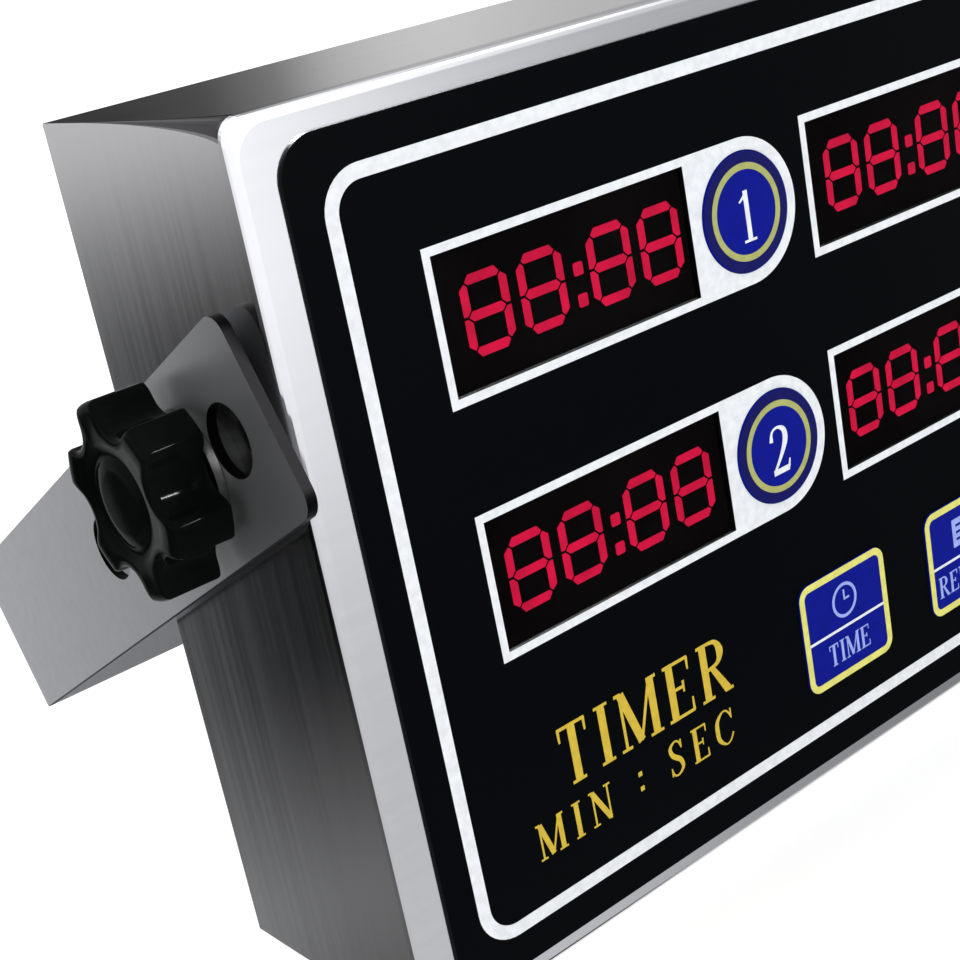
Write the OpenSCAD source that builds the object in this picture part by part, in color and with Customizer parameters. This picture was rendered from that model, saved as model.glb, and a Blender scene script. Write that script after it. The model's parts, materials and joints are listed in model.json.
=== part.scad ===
// Eight-channel digital kitchen timer: a stainless steel case with a printed
// front panel, held in a swinging steel bracket by two star knobs.
// Origin: centre of the case's bottom face. Front faces -Y, +Z is up.

/* [Case] */
// Width of the steel case
case_w = 323; // [320:1:330]
// Depth of the steel case, front to back
case_d = 45; // [44:0.5:55]
// Height of the steel case
case_h = 125; // [124:0.5:130]
// Thickness of the case's stainless sheet
wall = 1.2; // [0.8:0.1:1.5]
// Radius of the front face's four corners
front_corner_r = 3.6; // [2:0.5:6]
// Depth over which the long edges run down into the front corners
corner_run = 40; // [20:1:43]
// Radius of the bend round the front face
front_edge_r = 1.5; // [0.8:0.1:2]

/* [Front panel] */
// Thickness of the printed overlay
overlay_t = 0.5; // [0.3:0.1:0.8]
// Bare steel left at each end of the overlay
overlay_margin_x = 5.9; // [4:0.1:7]
// Bare steel left above the overlay
overlay_margin_top = 4; // [3:0.1:5]
// Bare steel left below the overlay
overlay_margin_bottom = 3; // [2.4:0.1:5]
// Corner radius of the overlay
overlay_corner_r = 5.6; // [3:0.1:8]
// Distance from the case's left edge to the first display frame
frame_margin = 22.5; // [22:0.1:24]
// Distance between display columns
column_pitch = 70; // [69.5:0.1:71]
// Height of the upper row's centre above the bottom face
upper_row_z = 93; // [92:0.1:94]
// Distance between the two display rows
row_pitch = 35.6; // [35:0.1:37]
// Width of a display window
window_w = 44.8; // [44:0.1:45.5]
// Height of a display window
window_h = 19; // [18.6:0.1:20]

/* [Keys] */
// Diameter of a channel key
channel_key_d = 17.2; // [16:0.1:18.4]
// Distance from a display frame's left edge to the channel key's centre
channel_key_offset = 57.2; // [57:0.1:58]
// Width of a function key
function_key_w = 20.2; // [18:0.1:21]
// Height of a function key
function_key_h = 18.4; // [16:0.1:18.8]
// Corner radius of a function key
function_key_r = 2.3; // [1:0.1:4]
// Distance between function keys
function_key_pitch = 31.1; // [30.5:0.1:31.5]
// Distance from the case's left edge to the first function key's centre
function_key_start = 89.4; // [88:0.1:90]
// Height of the function keys' centre above the bottom face
function_key_z = 24.4; // [24:0.1:25]
// How far a key goes in when it is pressed
key_travel = 0.4; // [0.2:0.1:0.5]
// Gap round a key
key_gap = 0.15; // [0.1:0.05:0.3]

/* [Bracket] */
// Width of the bracket's steel strip
strip_w = 27; // [22:1:30]
// Thickness of the bracket's strip
strip_t = 1.5; // [1:0.5:3]
// Gap between the case's side and the bracket
side_gap = 1.5; // [0.9:0.1:2]
// Height of the pivot above the bottom face
pivot_z = 80; // [78:0.5:82]
// Distance from the pivot to the bracket's free end
free_end = 25; // [23:0.5:28]
// Distance from the pivot to the outside of the bracket's back
reach = 95; // [90:0.5:110]
// Tilt of the bracket below the horizontal
bracket_tilt = 27.5; // [0:0.5:90]
// Distance between the two fixing holes in the bracket's back
fixing_spacing = 200; // [100:5:260]
// Radius of a fixing hole
fixing_hole_r = 2.75; // [2:0.25:3.5]

/* [Knobs] */
// Diameter over the lobes
knob_d = 27; // [26:0.5:34]
// Thickness of the lobes
knob_t = 8.4; // [6:0.1:12]
// Number of lobes
knob_lobes = 6; // [5:1:7]
// Radius of the clamping stud, M6
stud_r = 2.94; // [2.9:0.02:2.98]

/* [Hidden] */
$fn = 48;
columns = 4;
rows = 2;
channels = columns * rows;
key_names = ["time", "remind", "volume", "up", "down", "set", "clear"];
channel_keys = [for (n = [1:channels]) str("channel_key_", n)];
displays = [for (n = [1:channels]) str("display_", n)];
function_keys = [for (name = key_names) str(name, "_key")];
sides = ["left", "right"];

// Levels along Y, front to back
front_y = -case_d / 2;
overlay_y = front_y - overlay_t;
inner_y = front_y + wall;
board_y = front_y + 8.1;
board_t = 1.6;
board_back_y = board_y + board_t;
cover_y = case_d / 2 - wall;
flange_y = cover_y - wall;

board_w = case_w - 29;
board_bottom = 8;
board_top = 112.5;
standoff_r = 2.5;
standoff_bore_r = 1.5;
// The middle pair stands between two function keys
standoff_x = [-case_w / 2 + 18.5, -case_w / 2 + function_key_start + 2.5 * function_key_pitch,
              case_w / 2 - 18.5];
standoff_z = [11.5, 109];
pin_pitch = 2.54;
pins_per_row = 12;
pin_row_z = 7.6;
chip_pitch = 1.27;
chips_z = 74;
regulator_x = -138;
regulator_z = 46;
frame_line = 1.6;
cover_gap = 0.2;
cover_screw_x = [-120, -40, 40, 120];
cover_screw_z = [5, case_h - 5];
cover_screw_r = 1.5;
rim_w = 8;
buzzer_x = 110;
buzzer_z = 84;
inlet_x = -120;
inlet_z = 26;
inlet_r = 5.5;
connector_x = -104;

// Levels outwards from the case's side, along X
side_x = case_w / 2;
strip_x = side_x + side_gap;
washer_x = strip_x + strip_t + 0.05;
washer_t = 1.2;
boss_x = washer_x + washer_t;
lobes_x = boss_x + 0.9;
nut_depth = 11;
nut_bore_r = 3;

// Centres of the repeated features, as [x, z]
function column_of(n) = floor((n - 1) / rows);
function row_of(n) = (n - 1) % rows;
function frame_left(n) = -case_w / 2 + frame_margin + column_of(n) * column_pitch;
function row_z(n) = upper_row_z - row_of(n) * row_pitch;
function channel_centre(n) = [frame_left(n) + channel_key_offset, row_z(n)];
function window_centre(n) = [frame_left(n) + frame_line + window_w / 2, row_z(n)];
function function_centre(k) =
    [-case_w / 2 + function_key_start + k * function_key_pitch, function_key_z];
function pin_places(n) = [for (i = [0:pins_per_row - 1], s = [-1, 1])
    window_centre(n) + [(i - (pins_per_row - 1) / 2) * pin_pitch, s * pin_row_z]];
function key_centres() = concat([for (n = [1:channels]) channel_centre(n)],
    [for (k = [0:len(key_names) - 1]) function_centre(k)]);

// A plate drawn in the X-Z plane, from depth y to y + t
module plate(y, t) {
    translate([0, y + t, 0]) rotate([90, 0, 0]) linear_extrude(t) children();
}

// A round rod along Y from depth y, centred on at = [x, z]
module rod_y(at, y, r, t) {
    translate([at[0], y + t, at[1]]) rotate([90, 0, 0]) cylinder(r = r, h = t);
}

// A round rod along X from x
module rod_x(x, r, t) {
    translate([x, 0, pivot_z]) rotate([0, 90, 0]) cylinder(r = r, h = t);
}

// A block from depth y to y + t, centred on at = [x, z]
module block(at, y, size, t) {
    plate(y, t) translate(at) square(size, center = true);
}

module rounded(size, r) {
    square([size[0] - 2 * r, size[1]], center = true);
    square([size[0], size[1] - 2 * r], center = true);
    for (x = [-1, 1], y = [-1, 1])
        translate([x * (size[0] / 2 - r), y * (size[1] / 2 - r)]) circle(r);
}

// What is on the right is mirrored onto the left
module on_side(s) {
    if (s == "left") mirror([1, 0, 0]) children();
    else children();
}

// ---- Case ----

// How much a corner's radius has shrunk at depth t behind the front
function corner_radius(t) =
    max(0.05, front_corner_r * (1 - sqrt(1 - pow((corner_run - t) / corner_run, 2))));
function edge_inset(t) = t >= front_edge_r ? 0
    : front_edge_r - sqrt(pow(front_edge_r, 2) - pow(front_edge_r - t, 2));

// The case's outer form: square at the back, its corners drawn in at the front
module case_form() {
    rounding = [for (k = [0:5]) front_edge_r * pow(k / 6, 1.5)];
    run = [for (k = [0:10]) front_edge_r + (corner_run - front_edge_r) * pow(k / 10, 1.8)];
    steps = concat(rounding, run);
    hull() {
        for (t = steps)
            plate(front_y + t, 0.01) translate([0, case_h / 2])
                rounded([case_w - 2 * edge_inset(t), case_h - 2 * edge_inset(t)],
                        corner_radius(t) + 0.5 * edge_inset(t), $fn = 32);
        plate(case_d / 2 - 0.01, 0.01) translate([0, case_h / 2])
            square([case_w, case_h], center = true);
    }
}

module case_cavity() {
    plate(inner_y, case_d) translate([0, case_h / 2])
        rounded([case_w - 2 * wall, case_h - 2 * wall], front_corner_r);
}

// Openings for the displays and keys, grown by g
module front_openings(window_size, g) {
    for (n = [1:channels]) {
        translate(window_centre(n)) square(window_size, center = true);
        translate(channel_centre(n)) circle(channel_key_d / 2 + g);
    }
    for (k = [0:len(key_names) - 1])
        translate(function_centre(k))
            rounded([function_key_w + 2 * g, function_key_h + 2 * g], function_key_r + g);
}

module rear_rims() {
    for (z = [wall + rim_w / 2, case_h - wall - rim_w / 2])
        difference() {
            block([0, z], flange_y - cover_gap, [case_w - 2 * wall, rim_w], wall);
            for (x = cover_screw_x, sz = cover_screw_z)
                rod_y([x, sz], flange_y - 1, cover_screw_r + 0.05, 3);
        }
}

module front_shell() {
    color("silver") {
        difference() {
            case_form();
            case_cavity();
            plate(front_y - 1, wall + 2) front_openings([window_w - 0.6, window_h - 0.6], key_gap);
            for (x = [-side_x - 1, side_x - 3]) rod_x(x, 4.55, 4);
        }
        rear_rims();
    }
}

module sound_holes() {
    rod_y([buzzer_x, buzzer_z], cover_y - 1, 1.2, 4);
    for (ring = [1, 2], a = [0:60 / ring:359])
        rod_y([buzzer_x + 5 * ring * cos(a), buzzer_z + 5 * ring * sin(a)], cover_y - 1, 1.2, 4);
}

module rear_cover() {
    margin = 2 * wall + 2 * cover_gap;
    color("silver") difference() {
        plate(cover_y - cover_gap, wall) translate([0, case_h / 2])
            rounded([case_w - margin, case_h - margin], front_corner_r);
        for (x = cover_screw_x, z = cover_screw_z) rod_y([x, z], cover_y - 1, cover_screw_r + 0.2, 4);
        sound_holes();
        rod_y([inlet_x, inlet_z], cover_y - 1, inlet_r + 0.1, 4);
    }
}

// A pan-head screw: the head's underside at depth y, the shank towards -Y
module pan_screw(at, y, shank_r, shank_l) {
    rod_y(at, y - shank_l, shank_r, shank_l);
    difference() {
        translate([at[0], y, at[1]]) rotate([-90, 0, 0]) rotate_extrude()
            polygon([[0, 0], [2.8, 0], [2.8, 0.9], [2.2, 1.7], [1.2, 2], [0, 2]]);
        for (a = [0, 90]) translate([at[0], y + 1.6, at[1]]) rotate([0, a, 0])
            cube([3.2, 1.6, 0.7], center = true);
    }
}

module cover_screws() {
    color("gainsboro") for (x = cover_screw_x, z = cover_screw_z)
        pan_screw([x, z], cover_y + wall - cover_gap, cover_screw_r, 6);
}

// ---- Front panel ----

overlay_w = case_w - 2 * overlay_margin_x;
overlay_h = case_h - overlay_margin_top - overlay_margin_bottom;

module front_overlay() {
    color("black") plate(overlay_y, overlay_t) difference() {
        translate([0, overlay_margin_bottom + overlay_h / 2])
            rounded([overlay_w, overlay_h], overlay_corner_r);
        front_openings([window_w, window_h], key_gap);
    }
}

module display_windows() {
    color("dimgray") for (n = [1:channels])
        block(window_centre(n), overlay_y + 0.05, [window_w - 0.1, window_h - 0.1], overlay_t - 0.05);
}

// Four seven-segment digits in one black moulding, with its pins through the board
module display(n) {
    at = window_centre(n);
    color([0.12, 0.02, 0.03]) {
        block(at, front_y + 0.1, [window_w - 1, window_h - 1], board_y - front_y - 0.1);
        for (pin = pin_places(n)) rod_y(pin, board_y, 0.25, board_t + 1);
    }
}

// ---- Keys ----

key_front_y = overlay_y - 0.3;
key_flange_y = inner_y + 0.1;
key_flange_t = 1;
key_flange_w = 1.2;
switch_top_y = board_y - 3.5;
stem_r = 1.7;
stem_reach = 0.7;
well_depth = stem_reach + key_travel + 1.3;

// The stem ends inside the switch's well
module key_stem(at) {
    rod_y(at, key_flange_y + key_flange_t, stem_r,
          switch_top_y + stem_reach - key_flange_y - key_flange_t);
}

module channel_key(n) {
    at = channel_centre(n);
    color("royalblue") {
        rod_y(at, key_front_y, channel_key_d / 2, key_flange_y - key_front_y);
        rod_y(at, key_flange_y, channel_key_d / 2 + key_flange_w, key_flange_t);
        key_stem(at);
    }
}

module function_key(k) {
    at = function_centre(k);
    size = [function_key_w, function_key_h];
    color("mediumblue") {
        plate(key_front_y, key_flange_y - key_front_y) translate(at) rounded(size, function_key_r);
        plate(key_flange_y, key_flange_t) translate(at)
            rounded(size + [2, 2] * key_flange_w, function_key_r + key_flange_w);
        key_stem(at);
    }
}

module tact_switches() {
    color("dimgray") for (at = key_centres()) difference() {
        block(at, switch_top_y, [6, 6], board_y - switch_top_y);
        rod_y(at, switch_top_y - 1, stem_r + 0.2, well_depth + 1);
    }
}

// ---- Circuit board ----

module main_board() {
    color("darkgreen") difference() {
        block([0, (board_top + board_bottom) / 2], board_y, [board_w, board_top - board_bottom], board_t);
        for (x = standoff_x, z = standoff_z)
            rod_y([x, z], board_y - 1, standoff_bore_r + 0.1, board_t + 2);
        for (n = [1:channels], pin = pin_places(n)) rod_y(pin, board_y - 1, 0.35, board_t + 2);
    }
}

module board_standoffs() {
    color("goldenrod") for (x = standoff_x, z = standoff_z) difference() {
        rod_y([x, z], inner_y, standoff_r, board_y - inner_y);
        rod_y([x, z], inner_y + 0.8, standoff_bore_r, board_y - inner_y);
    }
}

module board_screws() {
    color("gainsboro") for (x = standoff_x, z = standoff_z)
        pan_screw([x, z], board_back_y, 1.45, 6);
}

// A flat chip with legs along its long sides
module chip(at, size, legs, t = 1.6) {
    block(at, board_back_y + 0.15, size, t);
    for (i = [0:legs - 1], s = [-1, 1])
        block([at[0] + (i - (legs - 1) / 2) * chip_pitch, at[1] + s * (size[1] / 2 + 0.6)],
              board_back_y, [0.45, 1.2], 0.5);
}

module microcontroller() {
    color([0.1, 0.1, 0.1]) chip([0, chips_z], [18, 10], 14, 2.2);
}

module display_drivers() {
    color([0.1, 0.1, 0.1]) for (x = [-110, -37, 37, 90]) chip([x, chips_z], [12, 7.5], 8);
}

module clock_crystal() {
    color("silver") plate(board_back_y, 3.4) translate([18, chips_z]) rounded([10.5, 4.6], 2.2);
}

module filter_capacitors() {
    color("navy") for (x = [-90, -78]) rod_y([x, 32], board_back_y, 4, 12);
}

module voltage_regulator() {
    tab = [regulator_x, regulator_z + 8];
    color([0.15, 0.15, 0.15]) block([regulator_x, regulator_z], board_back_y, [10, 9], 4.4);
    color("silver") difference() {
        block(tab, board_back_y, [10, 7], 1.3);
        rod_y(tab, board_back_y - 1, 1.8, 4);
    }
}

module buzzer() {
    color([0.1, 0.1, 0.1]) difference() {
        rod_y([buzzer_x, buzzer_z], cover_y - cover_gap - 7, 14, 7);
        rod_y([buzzer_x, buzzer_z], cover_y - cover_gap - 5, 12.4, 6);
    }
}

// ---- Power inlet ----

lead_end_y = cover_y - 12;
lead_r = 0.9;
lead_bend = 4;

module power_inlet() {
    color([0.1, 0.1, 0.1]) difference() {
        union() {
            rod_y([inlet_x, inlet_z], cover_y + wall - cover_gap, 7, 1.5);
            rod_y([inlet_x, inlet_z], lead_end_y, inlet_r, cover_y + wall - cover_gap - lead_end_y);
        }
        rod_y([inlet_x, inlet_z], lead_end_y + 2, 2.85, 20);
    }
    color("silver") rod_y([inlet_x, inlet_z], lead_end_y + 2, 1.05, 9);
}

module inlet_nut() {
    color("silver") difference() {
        translate([inlet_x, cover_y - cover_gap, inlet_z]) rotate([90, 0, 0])
            cylinder(r = 8, h = 2.5, $fn = 6);
        rod_y([inlet_x, inlet_z], cover_y - 5, inlet_r + 0.05, 8);
    }
}

// A quarter turn of wire round centre at = [x, y], from angle a
module wire_bend(at, z, a) {
    translate([at[0], at[1], z]) rotate([0, 0, a]) rotate_extrude(angle = 90)
        translate([lead_bend, 0]) circle(lead_r, $fn = 24);
}

// Two wires from the inlet's tags to the connector, in a flat S
module power_lead() {
    turn_y = lead_end_y - 2;
    run = connector_x - inlet_x - 2 * lead_bend;
    color("firebrick") for (z = [inlet_z - 1.5, inlet_z + 1.5]) {
        rod_y([inlet_x, z], turn_y, lead_r, lead_end_y - turn_y);
        wire_bend([inlet_x + lead_bend, turn_y], z, 180);
        translate([inlet_x + lead_bend, turn_y - lead_bend, z]) rotate([0, 90, 0])
            cylinder(r = lead_r, h = run);
        wire_bend([connector_x - lead_bend, turn_y - 2 * lead_bend], z, 0);
        rod_y([connector_x, z], board_back_y + 6, lead_r, turn_y - 2 * lead_bend - board_back_y - 6);
    }
}

module lead_connector() {
    color("ivory") block([connector_x, inlet_z], board_back_y, [7, 9], 6);
}

// ---- Bracket ----

// Bracket coordinates: pivot at the origin, the legs run back along +Y
module bracket_place() {
    translate([0, 0, pivot_z]) rotate([-bracket_tilt, 0, 0]) children();
}

bend_r = 3;
leg_corner_r = 3;
pivot_hole_r = 3.25;
// Places of the two large holes along a leg, from the pivot
lightening_holes = [-14, 35];

// One leg, drawn in its own plane as [along, across]
module leg_outline() {
    flat_l = free_end + reach - bend_r;
    difference() {
        translate([-free_end, 0]) union() {
            translate([leg_corner_r, -strip_w / 2]) square([flat_l - leg_corner_r, strip_w]);
            translate([0, -strip_w / 2 + leg_corner_r])
                square([flat_l, strip_w - 2 * leg_corner_r]);
            for (s = [-1, 1]) translate([leg_corner_r, s * (strip_w / 2 - leg_corner_r)])
                circle(leg_corner_r);
        }
        circle(pivot_hole_r);
        for (x = lightening_holes) translate([x, 0]) circle(5);
    }
}

module bracket_leg() {
    translate([strip_x, 0, 0]) rotate([90, 0, 90]) linear_extrude(strip_t) leg_outline();
}

module bracket_bend() {
    translate([strip_x + strip_t - bend_r, reach - bend_r, -strip_w / 2])
        rotate_extrude(angle = 90) translate([bend_r - strip_t, 0]) square([strip_t, strip_w]);
}

module bracket_back() {
    half = strip_x + strip_t - bend_r;
    difference() {
        translate([-half, reach - strip_t, -strip_w / 2]) cube([2 * half, strip_t, strip_w]);
        for (x = [-1, 1]) translate([x * fixing_spacing / 2, reach + 1, 0]) rotate([90, 0, 0])
            cylinder(r = fixing_hole_r, h = strip_t + 2);
    }
}

module bracket() {
    color("lightslategray") bracket_place() {
        bracket_back();
        for (s = sides) on_side(s) {
            bracket_leg();
            bracket_bend();
        }
    }
}

// ---- Clamping knobs ----

module rivet_nut(s) {
    color("gainsboro") on_side(s) difference() {
        union() {
            rod_x(side_x - nut_depth, 4.5, nut_depth);
            rod_x(side_x, 6, 0.8);
        }
        rod_x(side_x - nut_depth - 1, nut_bore_r, nut_depth + 3);
    }
}

module pivot_pad(s) {
    color([0.1, 0.1, 0.1]) on_side(s) difference() {
        rod_x(side_x, 9, side_gap - 0.02);
        rod_x(side_x - 1, 6.2, side_gap + 2);
    }
}

module knob_washer(s) {
    color("gainsboro") on_side(s) difference() {
        rod_x(washer_x, 9, washer_t - 0.02);
        rod_x(washer_x - 1, 3.2, washer_t + 2);
    }
}

hollow_r = 4.8;
hollow_out = 1.4;
hollow_angle = 44;

// Star outline: a disc with a round hollow between each pair of lobes
module star() {
    difference() {
        circle(knob_d / 2);
        for (i = [0:knob_lobes - 1]) rotate(hollow_angle + i * 360 / knob_lobes)
            translate([knob_d / 2 + hollow_out, 0]) circle(hollow_r);
    }
}

module knob_head(s) {
    crown = 1.2;
    color([0.05, 0.05, 0.05]) on_side(s) difference() {
        union() {
            intersection() {
                translate([lobes_x, 0, pivot_z]) rotate([90, 0, 90]) linear_extrude(knob_t) star();
                translate([lobes_x, 0, pivot_z]) rotate([0, 90, 0]) rotate_extrude()
                    polygon([[0, 0], [knob_d / 2 - crown, 0], [knob_d / 2, crown],
                             [knob_d / 2, knob_t - crown], [knob_d / 2 - crown, knob_t], [0, knob_t]]);
            }
            rod_x(boss_x, 7, lobes_x - boss_x);
        }
        rod_x(boss_x - 1, stud_r + 0.02, knob_t);
    }
}

module knob_stud(s) {
    color("gainsboro") on_side(s)
        rod_x(side_x - nut_depth - 3, stud_r, boss_x + knob_t - 1.1 - side_x + nut_depth + 3);
}

// ---- Nodes ----

front_shell();
rear_cover();
cover_screws();
front_overlay();
display_windows();
for (n = [1:channels]) display(n);
for (n = [1:channels]) channel_key(n);
for (k = [0:len(key_names) - 1]) function_key(k);
main_board();
board_standoffs();
board_screws();
tact_switches();
microcontroller();
display_drivers();
clock_crystal();
filter_capacitors();
voltage_regulator();
buzzer();
power_inlet();
inlet_nut();
power_lead();
lead_connector();
bracket();
for (s = sides) rivet_nut(s);
for (s = sides) pivot_pad(s);
for (s = sides) knob_washer(s);
for (s = sides) knob_head(s);
for (s = sides) knob_stud(s);
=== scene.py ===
import json
import math

import bmesh
import bpy
from mathutils import Matrix, Vector


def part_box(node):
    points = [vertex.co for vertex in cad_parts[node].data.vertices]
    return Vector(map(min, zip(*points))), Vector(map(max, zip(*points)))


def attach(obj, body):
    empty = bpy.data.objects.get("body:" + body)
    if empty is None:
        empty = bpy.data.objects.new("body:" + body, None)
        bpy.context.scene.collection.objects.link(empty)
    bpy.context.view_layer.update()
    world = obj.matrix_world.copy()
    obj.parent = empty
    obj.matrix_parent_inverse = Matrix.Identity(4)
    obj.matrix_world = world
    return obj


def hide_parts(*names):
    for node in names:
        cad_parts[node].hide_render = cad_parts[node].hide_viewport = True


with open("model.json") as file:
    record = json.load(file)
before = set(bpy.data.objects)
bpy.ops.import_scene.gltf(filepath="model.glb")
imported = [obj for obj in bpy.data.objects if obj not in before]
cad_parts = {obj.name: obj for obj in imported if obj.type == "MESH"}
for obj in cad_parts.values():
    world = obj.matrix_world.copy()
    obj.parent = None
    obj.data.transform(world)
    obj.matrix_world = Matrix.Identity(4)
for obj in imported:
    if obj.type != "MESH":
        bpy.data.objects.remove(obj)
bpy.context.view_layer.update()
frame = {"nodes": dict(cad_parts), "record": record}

MM = 0.001
CHANNELS = range(1, 9)
FUNCTION_KEYS = ("time", "remind", "volume", "up", "down", "set", "clear")
SIDES = ("left", "right")

CASE_LO, CASE_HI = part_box("front_shell")
OVERLAY_LO, OVERLAY_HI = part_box("front_overlay")
OVERLAY_Y = OVERLAY_LO.y
BRACKET_LO, BRACKET_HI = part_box("bracket")
# Thickness of the bracket's strip, and of printed ink
STRIP_T = 1.5 * MM
INK = 0.04 * MM
# How far each pen stroke of a letter stands behind the one before
STROKE_STEP = 0.001 * MM


# ---------------------------------------------------------------- camera

LENS = 65.4
VIEW_FORWARD = Vector((0.551, 0.767, -0.329))
VIEW_RIGHT = Vector((0.758, -0.625, -0.186))
# The camera's place, outwards from the case's upper left front corner
EYE_OUT, EYE_FORWARD, EYE_UP = 0.0984, 0.1724, 0.0212


def add_camera():
    """Close to the case's upper left front corner, looking down a little and rolled."""
    data = bpy.data.cameras.new("camera")
    data.sensor_width = 36
    data.lens = LENS
    camera = bpy.data.objects.new("camera", data)
    bpy.context.scene.collection.objects.link(camera)
    forward = VIEW_FORWARD.normalized()
    right = (VIEW_RIGHT - forward * VIEW_RIGHT.dot(forward)).normalized()
    up = right.cross(forward)
    axes = Matrix((right, up, -forward)).transposed().to_4x4()
    eye = Vector((CASE_LO.x - EYE_OUT, CASE_LO.y - EYE_FORWARD, CASE_HI.z + EYE_UP))
    camera.matrix_world = Matrix.Translation(eye) @ axes
    data.clip_start = 0.01
    bpy.context.scene.camera = camera


# ---------------------------------------------------------------- materials

def new_material(name, color, roughness, metallic=0.0, **fixed):
    """A Principled material; fixed are further socket values by name."""
    material = bpy.data.materials.new(name)
    material.use_nodes = True
    shader = material.node_tree.nodes["Principled BSDF"]
    shader.inputs["Base Color"].default_value = (*color, 1)
    shader.inputs["Roughness"].default_value = roughness
    shader.inputs["Metallic"].default_value = metallic
    for socket, value in fixed.items():
        shader.inputs[socket.replace("_", " ")].default_value = value
    return material


class Nodes:
    """Short calls for building the nodes of a material or of the world."""

    def __init__(self, owner):
        self.tree = owner.node_tree
        self.shader = self.tree.nodes.get("Principled BSDF")

    def add(self, kind, **values):
        node = self.tree.nodes.new(kind)
        for key, value in values.items():
            setattr(node, key, value)
        return node

    def link(self, out, into):
        self.tree.links.new(out, into)

    def math(self, operation, *values):
        """A Math node fed by sockets."""
        node = self.add("ShaderNodeMath", operation=operation)
        for value, socket in zip(values, node.inputs):
            self.link(value, socket)
        return node.outputs[0]

    def parts(self, vector):
        """The X, Y and Z of a vector."""
        node = self.add("ShaderNodeSeparateXYZ")
        self.link(vector, node.inputs["Vector"])
        return node.outputs

    def place(self, kind):
        """Texture coordinates of one kind, such as Object, Normal or Generated."""
        return self.add("ShaderNodeTexCoord").outputs[kind]

    def coordinates(self, scale):
        """Object coordinates, stretched by scale."""
        mapping = self.add("ShaderNodeMapping")
        mapping.inputs["Scale"].default_value = scale
        self.link(self.place("Object"), mapping.inputs["Vector"])
        return mapping.outputs["Vector"]

    def noise(self, scale, detail):
        """Noise sized by its coordinates: scale is its fineness along X, Y and Z."""
        node = self.add("ShaderNodeTexNoise")
        node.inputs["Scale"].default_value = 1.0
        node.inputs["Detail"].default_value = detail
        self.link(self.coordinates(scale), node.inputs["Vector"])
        return node.outputs["Fac"]

    def ramp(self, value, stops):
        """Tones along a value; stops are (place, colour or grey) pairs."""
        node = self.add("ShaderNodeValToRGB")
        elements = node.color_ramp.elements
        while len(elements) < len(stops):
            elements.new(0.5)
        for element, (place, color) in zip(elements, stops):
            element.position = place
            grey = not hasattr(color, "__len__")
            element.color = (color, color, color, 1) if grey else (*color, 1)
        self.link(value, node.inputs["Fac"])
        return node.outputs["Color"]

    def span(self, value, low, high, to_low, to_high):
        """A value between low and high, carried over to between to_low and to_high."""
        node = self.add("ShaderNodeMapRange")
        for socket, number in zip(("From Min", "From Max", "To Min", "To Max"),
                                  (low, high, to_low, to_high)):
            node.inputs[socket].default_value = number
        self.link(value, node.inputs["Value"])
        return node.outputs["Result"]

    def mix(self, factor, a, b, blend="MIX"):
        """A blend of two colours; each value is a number, a colour or a socket."""
        node = self.add("ShaderNodeMix", data_type="RGBA", blend_type=blend)
        for value, socket in ((factor, node.inputs["Factor"]), (a, node.inputs["A"]),
                              (b, node.inputs["B"])):
            if isinstance(value, (int, float)):
                socket.default_value = value
            elif isinstance(value, tuple):
                socket.default_value = (*value, 1)
            else:
                self.link(value, socket)
        return node.outputs["Result"]

    def bump(self, height, distance, strength):
        node = self.add("ShaderNodeBump")
        node.inputs["Distance"].default_value = distance
        node.inputs["Strength"].default_value = strength
        self.link(height, node.inputs["Height"])
        self.link(node.outputs["Normal"], self.shader.inputs["Normal"])


def brushed(name, color, roughness, grain):
    """Metal with fine streaks: grain is their fineness along X, Y and Z."""
    contrast = 0.12
    material = new_material(name, color, roughness, 1.0)
    nodes = Nodes(material)
    lines = nodes.noise(grain, detail=4)
    clouds = nodes.noise((14, 14, 14), detail=2)
    dark = tuple(c * (1 - contrast) for c in color)
    light = tuple(min(1, c * (1 + contrast)) for c in color)
    streaks = nodes.mix(nodes.span(lines, 0.35, 0.65, 0, 1), dark, light)
    tint = nodes.mix(nodes.span(clouds, 0.3, 0.7, 0, 0.25), streaks, dark)
    nodes.link(tint, nodes.shader.inputs["Base Color"])
    nodes.link(nodes.span(lines, 0.3, 0.7, roughness * 0.8, roughness * 1.25),
               nodes.shader.inputs["Roughness"])
    nodes.bump(lines, 0.000004, 0.15)
    return material


def moulded(name, color, roughness, grain=900, depth=0.00003, **fixed):
    """Moulded plastic with a fine eggshell texture and slight tone changes."""
    material = new_material(name, color, roughness, **fixed)
    nodes = Nodes(material)
    fine = nodes.noise((grain, grain, grain), detail=2)
    broad = nodes.noise((40, 40, 40), detail=2)
    light = tuple(min(1, c * 1.18 + 0.002) for c in color)
    nodes.link(nodes.mix(nodes.span(broad, 0.35, 0.65, 0, 1), color, light),
               nodes.shader.inputs["Base Color"])
    nodes.link(nodes.span(fine, 0.3, 0.7, roughness * 0.85, roughness * 1.2),
               nodes.shader.inputs["Roughness"])
    nodes.bump(fine, depth, 0.5)
    return material


def printed(name, color, roughness, **fixed):
    """Screen-printed ink: almost even colour with a fine grain."""
    material = new_material(name, color, roughness, **fixed)
    nodes = Nodes(material)
    speck = nodes.noise((700, 700, 700), detail=2)
    light = tuple(min(1, c * 1.05) for c in color)
    dark = tuple(c * 0.93 for c in color)
    nodes.link(nodes.mix(nodes.span(speck, 0.35, 0.65, 0, 1), dark, light),
               nodes.shader.inputs["Base Color"])
    nodes.bump(speck, 0.000008, 0.4)
    return material


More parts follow.
